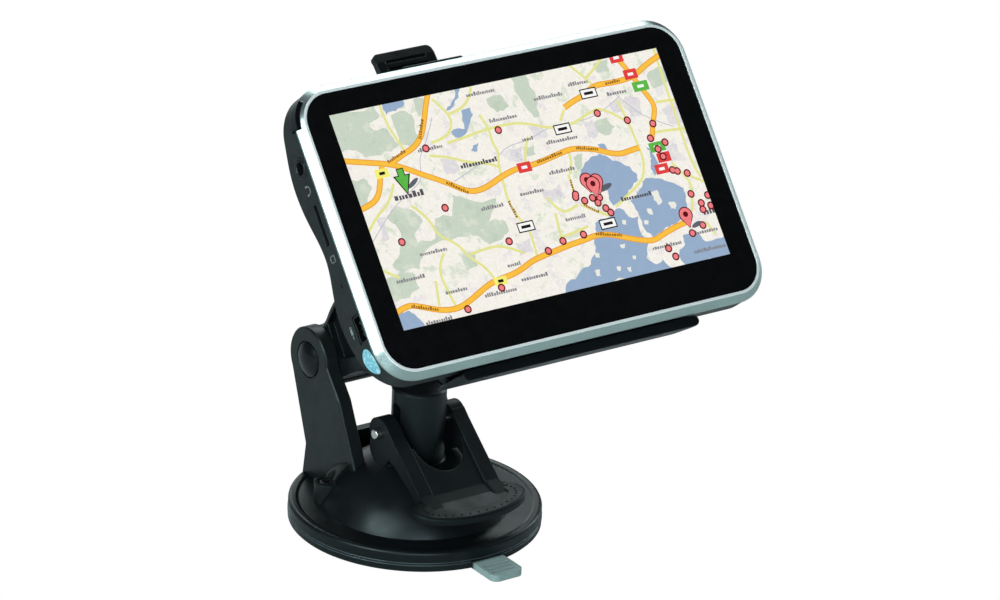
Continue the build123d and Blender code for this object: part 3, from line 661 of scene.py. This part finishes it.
# tip x, tip y, height
pins = [(17.6, -5.6, 5.4), (20.6, -6.4, 5.4), (19.2, -7.2, 5.6), (45.5, -21.6, 5.6)]
signs = [
    ("red", -0.6, 5.7, 4.5, 2.9), ("red", 44, 25.5, 4.5, 2.9), ("red", 45.2, 0, 4.5, 2.9),
    ("red", 43.2, -3.2, 4.5, 2.9), ("red", 41.2, 31, 4.5, 2.9), ("green", 45.9, 21.5, 5.3, 2.9),
    ("green", 44.2, 3.3, 5.3, 2.9), ("yellow", -45.4, 12.5, 4.4, 2.6),
    ("yellow", -20.5, -24.1, 4.2, 2.4),
]
plates = [(-6.7, -10.8), (28.2, 22.6), (15.8, 14.1), (19.6, -15.1)]
labels = [
    # middle x, middle y, length, height, ink, slope in degrees
    (-6, 29, 10, 1.2, "text", 0), (-2, 20.5, 9, 1.2, "text", 0), (15, 24, 10, 1.2, "text", 0),
    (26, 26, 7, 1.2, "text", 0), (37.5, 21, 7, 1.2, "text", 0), (3.5, 13.3, 3.5, 1.2, "text", 0),
    (14.5, 11, 11, 1.2, "text", 0), (-28, 16.5, 8, 1.2, "text", 0),
    (-14.5, 9.6, 12, 1.5, "boldText", 0), (-39.5, 4.8, 9.5, 1.9, "boldText", 0),
    (-15, -3.4, 7.5, 1.2, "text", 0), (-1, -1.7, 8, 1.2, "text", 0), (-38, -12, 9, 1.2, "text", 0),
    (-48, -18, 9, 1.2, "text", 0), (-35, -24, 7.5, 1.2, "text", 0),
    (-14.5, -20.5, 4.5, 1.2, "text", 0), (-9.5, -25.2, 9, 1.2, "text", 0),
    (-21.5, -27.3, 11, 1.2, "text", 0), (-43.5, -31, 9, 1.2, "text", 0),
    (11, 2.4, 9, 1.2, "text", 0), (10, -11.5, 7, 1.2, "text", 0),
    (31.5, -9.4, 10, 1.3, "boldText", 0), (36, -25, 10, 1.2, "text", 0),
    (50.5, -23.5, 8, 1.2, "text", 0), (49.5, -28.7, 11, 1.2, "text", 0),
    (53.6, -18.2, 4, 1.9, "boldText", 0), (-28.6, 22.4, 6, 1.1, "roadText", 62),
    (-39, 16.3, 7, 1.1, "roadText", 18), (-23.6, 4, 7.6, 1.1, "roadText", -36),
    (8.4, 6.9, 9, 1.1, "roadText", 8), (21.6, 7, 7.6, 1.1, "roadText", -14),
    (-46.6, -26.7, 8.4, 1.1, "roadText", -18), (18.8, -18.3, 9, 1.1, "roadText", -14),
    (37.4, 24.3, 5.4, 1.1, "roadText", 1), (-8.9, -5.4, 5.4, 1, "roadText", -80),
    (16, -9.9, 5, 1, "roadText", -38), (12.4, -2.2, 3.4, 1, "roadText", 87),
]
shadows = [(22.6, -4.9, 5.4, 1.7, 14), (48, -21, 3.6, 1.4, 16), (-37, 8, 4.6, 1.3, 30)]
printed = {
    "wander": 0.16,                 # how far shores and wood edges stray, per length of side
    "railHalf": 0.12, "laneHalf": 0.4, "casingHalf": 0.86, "mainHalf": 0.58,
    "signBar": 0.42,                # share of the sign's width
    "barHeight": 0.85,
    "plateEdge": (5.6, 3.0), "platePanel": (4.9, 2.3), "plateBar": (3.1, 0.85),
    "dotRim": 1.2, "dotFill": 0.78, "dotHeart": 0.4,
    "pinEdge": 0.34,
    "pinMark": (0.74, 0.15),        # how high up the pin, and its radius, as shares of the pin
    "arrowTip": (-39.7, 5.6), "arrowEdge": 0.28,
}


def placeFlat(bm, made, x, y, width, height, turn):
    place = Matrix.Translation((x, y, 0)) @ Matrix.Rotation(turn, 4, "Z")
    size = Matrix.Diagonal((width, height, 1, 1))
    bmesh.ops.transform(bm, matrix=place @ size, verts=made["verts"])


def blockAt(bm, x, y, width, height, turn=0):
    made = bmesh.ops.create_grid(bm, x_segments=1, y_segments=1, size=0.5)
    placeFlat(bm, made, x, y, width, height, turn)


# a row of small blocks that stands for a name
def nameBlocks(bm, x, y, length, height, slope, luck):
    turn = radians(slope)
    along = -length / 2
    while along < length / 2 - height * 0.3:
        wide = height * luck.uniform(0.34, 0.62)
        tall = height * luck.choice((0.62, 0.62, 0.7, 0.95))
        middle, rise = along + wide / 2, (tall - height * 0.7) / 2
        blockX = x + middle * cos(turn) - rise * sin(turn)
        blockY = y + middle * sin(turn) + rise * cos(turn)
        blockAt(bm, blockX, blockY, wide, tall, turn)
        along += wide + height * luck.uniform(0.14, 0.2)


def roundMark(bm, x, y, radius):
    made = bmesh.ops.create_circle(bm, cap_ends=True, segments=20, radius=radius)
    bmesh.ops.translate(bm, vec=(x, y, 0), verts=made["verts"])


# a teardrop whose tip is at x, y
def pinOutline(x, y, size, grow):
    radius, middle = size * 0.36 + grow, y + size * 0.72
    points = [(x + radius * cos(radians(a)), middle + radius * sin(radians(a)))
              for a in range(-30, 211, 20)]
    waist, waistY = 0.12 * size + grow * 0.4, y + size * 0.22
    return points + [(x - waist, waistY), (x, y - grow), (x + waist, waistY)]


# a block arrow that points down to x, y
def arrowOutline(x, y, grow):
    stem, barb = 0.9 + grow, 2.2 + 2.2 * grow
    top, shoulder = y + 7 + grow, y + 5 + grow
    return [(x - stem, top), (x + stem, top), (x + stem, shoulder), (x + barb, shoulder),
            (x, y - 2.2 * grow), (x - barb, shoulder), (x - stem, shoulder)]


# breaks each side of an outline in two, a little off its line, so that shores wander
def ragged(outline, luck, amount, rounds=2):
    for _ in range(rounds):
        broken = []
        for (x, y), (nextX, nextY) in zip(outline, outline[1:] + outline[:1]):
            push = luck.uniform(-amount, amount)
            middle = ((x + nextX) / 2 - push * (nextY - y), (y + nextY) / 2 + push * (nextX - x))
            broken += [(x, y), middle]
        outline = broken
    return outline


# land, water and roads, each layer a step above the one before
def drawGround(luck):
    ground = bmesh.new()
    blockAt(ground, 0, 0, mapSheet["width"], mapSheet["height"])
    addLayer(ground, "mapLand", "land", 0)
    areas = [("mapWoods", "wood", woods), ("mapTown", "town", townPatches),
             ("mapWaters", "water", waters), ("mapIslands", "island", islands)]
    for layer, (name, ink, outlines) in enumerate(areas, 1):
        bm = bmesh.new()
        for outline in outlines:
            curveMesh(bm, ragged(outline, luck, printed["wander"]), True, order=2)
        addLayer(bm, name, ink, layer)
    roads = [("mapRails", "rail", rails, printed["railHalf"]),
             ("mapLanes", "lane", lanes, printed["laneHalf"]),
             ("mapCasings", "casing", mainRoads, printed["casingHalf"]),
             ("mapMainRoads", "main", mainRoads, printed["mainHalf"])]
    for layer, (name, ink, lines, halfWidth) in enumerate(roads, 5):
        bm = bmesh.new()
        for line in lines:
            curveMesh(bm, line, False, halfWidth)
        addLayer(bm, name, ink, layer)


# rows of blocks for names, and signs with a plain bar
def drawNames(luck):
    for ink in ("text", "boldText", "roadText"):
        bm = bmesh.new()
        for x, y, length, height, which, slope in labels:
            if which == ink:
                nameBlocks(bm, x, y, length, height, slope, luck)
        addLayer(bm, "map" + ink[0].upper() + ink[1:], ink, 9)
    edges, panels, marks = bmesh.new(), bmesh.new(), bmesh.new()
    for ink in ("red", "green", "yellow"):
        bm = bmesh.new()
        bars = marks if ink == "yellow" else panels
        for which, x, y, width, height in signs:
            if which == ink:
                blockAt(bm, x, y, width, height)
                blockAt(bars, x, y, width * printed["signBar"], printed["barHeight"])
        addLayer(bm, "mapSigns" + ink.capitalize(), ink, 10)
    for x, y in plates:
        blockAt(edges, x, y, *printed["plateEdge"])
        blockAt(panels, x, y, *printed["platePanel"])
        blockAt(marks, x, y, *printed["plateBar"])
    addLayer(edges, "mapSignEdges", "black", 11)
    addLayer(panels, "mapSignPanels", "white", 12)
    addLayer(marks, "mapSignMarks", "black", 13)


# dots, shadows, pins and the arrow
def drawMarkers():
    rims, fills, hearts = bmesh.new(), bmesh.new(), bmesh.new()
    for x, y in dots:
        roundMark(rims, x, y, printed["dotRim"])
        roundMark(fills, x, y, printed["dotFill"])
        roundMark(hearts, x, y, printed["dotHeart"])
    addLayer(rims, "mapDotRims", "rim", 14)
    addLayer(fills, "mapDots", "dot", 15)
    addLayer(hearts, "mapDotHearts", "dot", 16)
    bm = bmesh.new()
    for x, y, width, height, turn in shadows:
        made = bmesh.ops.create_circle(bm, cap_ends=True, segments=24, radius=0.5)
        placeFlat(bm, made, x, y, width, height, radians(turn))
    addLayer(bm, "mapShadows", "shadow", 17)
    high, wide = printed["pinMark"]
    for order, (x, y, size) in enumerate(pins):
        outer, inner, mark = bmesh.new(), bmesh.new(), bmesh.new()
        curveMesh(outer, pinOutline(x, y, size, printed["pinEdge"]), True)
        curveMesh(inner, pinOutline(x, y, size, 0), True)
        roundMark(mark, x, y + size * high, size * wide)
        addLayer(outer, f"mapPinEdge{order}", "rim", 18 + 3 * order)
        addLayer(inner, f"mapPin{order}", "dot", 19 + 3 * order)
        addLayer(mark, f"mapPinMark{order}", "rim", 20 + 3 * order)
    outer, inner = bmesh.new(), bmesh.new()
    curveMesh(outer, arrowOutline(*printed["arrowTip"], printed["arrowEdge"]), True, order=2)
    curveMesh(inner, arrowOutline(*printed["arrowTip"], 0), True, order=2)
    addLayer(outer, "mapArrowEdge", "black", 18)
    addLayer(inner, "mapArrow", "green", 19)


luck = random.Random(7)
drawGround(luck)
drawNames(luck)
drawMarkers()
print("map drawn")


# touch glass: a printed border and a clear window
glass = {
    "width": 126.0, "height": 80.2, "corner": 8.5, "front": -0.15, "back": -1.7,
    "edge": 0.12,               # softened rim at the front
    "clearance": 0.1,           # window over the display
    "windowCorner": 0.15,
    "pane": 0.06,
}


def windowSlab(bm, z, thickness):
    width, height = (mapSheet[way] + glass["clearance"] for way in ("width", "height"))
    face = roundedOutline(bm, width, height, glass["windowCorner"], z, mapSheet["rise"], 2)
    extrudeUp(bm, [face], thickness)


def touchGlass():
    bm = bmesh.new()
    outline = (glass["width"], glass["height"], glass["corner"], glass["back"])
    face = roundedOutline(bm, *outline, 0, 14)
    top = extrudeUp(bm, [face], glass["front"] - glass["back"])
    rim = [e for f in top for e in f.edges]
    bmesh.ops.bevel(bm, geom=rim, offset=glass["edge"], offset_type="OFFSET", segments=2,
                    profile=0.5, affect="EDGES", material=-1)
    black = finishes["screen_glass"]
    border = finishPiece(bm, "glassBorder", black, "cradle", unitPlace, 30)
    cut = bmesh.new()
    windowSlab(cut, -3.0, 5.0)          # right through the glass
    bmesh.ops.transform(cut, matrix=unitPlace, verts=cut.verts)
    bmesh.ops.recalc_face_normals(cut, faces=cut.faces)
    cutter = makeObject(cut, "windowCut", None)
    opening = border.modifiers.new("window", "BOOLEAN")
    opening.operation = "DIFFERENCE"
    opening.solver = "EXACT"
    opening.object = cutter
    bpy.context.view_layer.update()
    depsgraph = bpy.context.evaluated_depsgraph_get()
    opened = bpy.data.meshes.new_from_object(border.evaluated_get(depsgraph))
    border.modifiers.clear()
    border.data = opened
    bpy.data.objects.remove(cutter)
    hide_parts("touch_glass")
    pane = bmesh.new()
    windowSlab(pane, glass["front"] - glass["pane"], glass["pane"])
    finishPiece(pane, "glassWindow", clearGlass(), "cradle", unitPlace, 0)


touchGlass()
print("glass fitted")


# side sockets and their symbols: x along the side, y towards the back, z out of it
side = {"x": -65.6, "jack": (22.5, -6.8), "usb": (-24.9, -5.3)}
sidePlace = unitPlace @ Matrix((
    (0, 0, -1, side["x"]),
    (1, 0, 0, 0),
    (0, -1, 0, 0),
    (0, 0, 0, 1),
))
jackRings = {
    # name: profile of radius and height, finish, slot
    "jackCollar": (
        [(1.85, -0.5), (2.30, -0.5), (2.30, 0.16), (2.18, 0.26), (1.98, 0.26), (1.85, 0.12),
         (1.85, -0.5)], "dull_nickel", "tin"),
    "jackSurround": (
        [(2.42, -0.5), (3.05, -0.5), (3.05, 0.05), (2.95, 0.13), (2.52, 0.13), (2.42, 0.05),
         (2.42, -0.5)], "port_black", "port_black"),
}
symbols = {
    "bow": (16.0, 6.8, 1.1),                    # middle x, middle y, radius
    "bowBlock": (0.42, 0.22),
    "cups": ((14.8, 7.2), (17.2, 7.2)), "cup": (0.5, 0.9),
    "card": ((-4.2, 5.2, 0.22, 2.0), (-4.2, 7.4, 0.22, 1.4),
             (-3.3, 6.2, 2.0, 0.2), (-5.1, 6.4, 1.6, 0.2)),
    "plug": ((-24.4, 9.4, 1.5, 1.0), (-23.3, 9.1, 0.8, 0.2),
             (-23.3, 9.7, 0.8, 0.2), (-25.8, 9.4, 1.4, 0.22)),
    "relief": 0.05,
}
contacts = {"count": 5, "pitch": 0.8, "size": (0.36, 0.12, 4.0), "offset": 0.42, "depth": -3.2}


def jackCollar():
    for name, (profile, finish, slot) in jackRings.items():
        bm = spunPiece(profile, 48)
        bmesh.ops.translate(bm, vec=(side["jack"][0], -side["jack"][1], 0), verts=bm.verts)
        finishPiece(bm, name, finishes[finish], "cradle", sidePlace, 40)


def sideSymbols():
    bm = bmesh.new()
    x, y, radius = symbols["bow"]               # headphones: a bow and two cups
    for a in range(0, 181, 20):
        bowX, bowY = x + radius * cos(radians(a)), y - radius * sin(radians(a))
        blockAt(bm, bowX, bowY, *symbols["bowBlock"], radians(90 - a))
    for x, y in symbols["cups"]:
        blockAt(bm, x, y, *symbols["cup"])
    for strip in symbols["card"]:               # the outline of a memory card
        blockAt(bm, *strip, radians(90))
    for strip in symbols["plug"]:               # a plug with two prongs and its cord
        blockAt(bm, *strip)
    extrudeUp(bm, bm.faces[:], symbols["relief"])
    finishPiece(bm, "sideSymbols", markInk(), "cradle", sidePlace, 0)


def usbContacts():
    bm = bmesh.new()
    first = side["usb"][0] - contacts["pitch"] * (contacts["count"] - 1) / 2
    across = contacts["offset"] - side["usb"][1]
    for k in range(contacts["count"]):
        made = bmesh.ops.create_cube(bm, size=1)
        place = Matrix.Translation((first + contacts["pitch"] * k, across, contacts["depth"]))
        size = Matrix.Diagonal((*contacts["size"], 1))
        bmesh.ops.transform(bm, matrix=place @ size, verts=made["verts"])
    steel = finishes["bright_steel"]
    finishPiece(bm, "usbContacts", steel, "cradle", sidePlace, 0)


jackCollar()
sideSymbols()
usbContacts()
print("sockets dressed")


# lever pad: ring of grip dots round the recess
padGrip = {
    "count": 34, "halfLength": 15.6, "halfWidth": 6.7, "dot": 0.34, "flatten": 0.6,
    "lift": 2.32, "middle": (0, -27.2, 14.6), "tilt": 7,
}
padTilt = Matrix.Rotation(radians(padGrip["tilt"]), 4, "X")
padPlace = worldPlace @ Matrix.Translation(padGrip["middle"]) @ padTilt


def gripDots():
    bm = bmesh.new()
    for k in range(padGrip["count"]):
        a = 2 * pi * k / padGrip["count"]
        spot = (padGrip["halfLength"] * cos(a), padGrip["halfWidth"] * sin(a), padGrip["lift"])
        made = bmesh.ops.create_icosphere(bm, subdivisions=2, radius=padGrip["dot"])
        bmesh.ops.scale(bm, vec=(1, 1, padGrip["flatten"]), verts=made["verts"])
        bmesh.ops.translate(bm, vec=spot, verts=made["verts"])
    finishPiece(bm, "gripDots", finishes["lever_plastic"], "lever", padPlace, 60)


# two fine beads run round the seam between the rubber cup and the moulded flange; they are real
# ridges, coloured paler than the plastics as painted highlights on their edges
seamBeads = {"radius": 37.12, "bead": 0.2, "heights": (2.12, 2.86), "round": 10, "steps": 144}


def rimSeam():
    bm = bmesh.new()
    upright = Matrix.Rotation(pi / 2, 3, "X")
    for height in seamBeads["heights"]:
        made = bmesh.ops.create_circle(bm, segments=seamBeads["round"], radius=seamBeads["bead"])
        ring = made["verts"]
        bmesh.ops.rotate(bm, verts=ring, cent=(0, 0, 0), matrix=upright)
        bmesh.ops.translate(bm, vec=(seamBeads["radius"], 0, height), verts=ring)
        edges = list({e for v in ring for e in v.link_edges})
        bmesh.ops.spin(bm, geom=ring + edges, axis=(0, 0, 1), cent=(0, 0, 0), angle=2 * pi,
                       steps=seamBeads["steps"], use_merge=True, use_duplicate=False)
    bmesh.ops.remove_doubles(bm, verts=bm.verts, dist=1e-4)
    finishPiece(bm, "rimSeam", finishes["seam_bead"], "base", worldPlace, 60)


gripDots()
rimSeam()
print("grip dots and seam beads made")


# floor and light
floorPaper = {
    "half": 6, "drop": 0.0002, "fibre": 40, "roughness": 0.9,
    "dark": (0.66, 0.72, 0.72, 1), "pale": (0.70, 0.76, 0.76, 1),
}
room = {"colour": (0.80, 0.88, 0.92, 1), "strength": 0.06}
lights = {
    # name: position, aim, width, height, watts, colour
    "leftBox": ((-1.5, -0.35, 0.95), (0, 0, 0.08), 1.0, 0.8, 22, (0.90, 1.0, 1.0)),
    "backBox": ((0.75, 1.35, 1.30), (0, 0, 0.10), 1.3, 0.7, 12, (0.92, 1.0, 1.0)),
    "frontFill": ((-0.9, -1.6, 0.5), (0, 0, 0.05), 0.9, 0.5, 13, (0.82, 0.95, 1.0)),
    "rightStrip": ((1.3, 0.1, 0.5), (0, 0, 0.05), 0.4, 0.9, 5, (0.88, 0.98, 1.0)),
    "rearFill": ((0.4, 1.7, 0.35), (0, 0, 0.08), 1.0, 0.5, 2.5, (0.92, 0.98, 1.0)),
}


# plain white where the camera looks straight at it, and its own colour to everything else
def whiteToCamera(tree, own, kind, output):
    white = tree.nodes.new(kind)
    setSockets(white, {"Color": (1, 1, 1, 1), "Strength": 1.0})
    seen = tree.nodes.new("ShaderNodeLightPath")
    mix = tree.nodes.new("ShaderNodeMixShader")
    tree.links.new(seen.outputs["Is Camera Ray"], mix.inputs["Fac"])
    tree.links.new(own, mix.inputs[1])
    tree.links.new(white.outputs[0], mix.inputs[2])
    tree.links.new(mix.outputs["Shader"], tree.nodes[output].inputs["Surface"])


def whiteFloor():
    bm = bmesh.new()
    bmesh.ops.create_grid(bm, x_segments=1, y_segments=1, size=floorPaper["half"])
    bmesh.ops.translate(bm, vec=(0, 0, -floorPaper["drop"]), verts=bm.verts)
    material, tree, shader = newMaterial("floorPaper", {
        "Roughness": floorPaper["roughness"], "Specular IOR Level": 0.0})
    stops = [(0.3, floorPaper["dark"]), (0.7, floorPaper["pale"])]
    rampInto(tree, objectNoise(tree, floorPaper["fibre"], 3), stops, shader.inputs["Base Color"])
    whiteToCamera(tree, shader.outputs["BSDF"], "ShaderNodeEmission", "Material Output")
    floor = makeObject(bm, "floor", material)


def softLights():
    for name, (position, aim, width, height, watts, colour) in lights.items():
        data = bpy.data.lights.new(name, "AREA")
        data.shape = "RECTANGLE"
        data.size = width
        data.size_y = height
        data.energy = watts
        data.color = colour
        box = bpy.data.objects.new(name, data)
        box.location = position
        box.rotation_euler = (Vector(aim) - Vector(position)).to_track_quat("-Z", "Y").to_euler()
        scene.collection.objects.link(box)


def setRoom():
    world = bpy.data.worlds.new("room")
    world.use_nodes = True
    tree = world.node_tree
    air = tree.nodes["Background"]
    setSockets(air, {"Color": room["colour"], "Strength": room["strength"]})
    whiteToCamera(tree, air.outputs["Background"], "ShaderNodeBackground", "World Output")
    scene.world = world


whiteFloor()
softLights()
setRoom()
scene.view_settings.view_transform = "Standard"
print("stage lit")
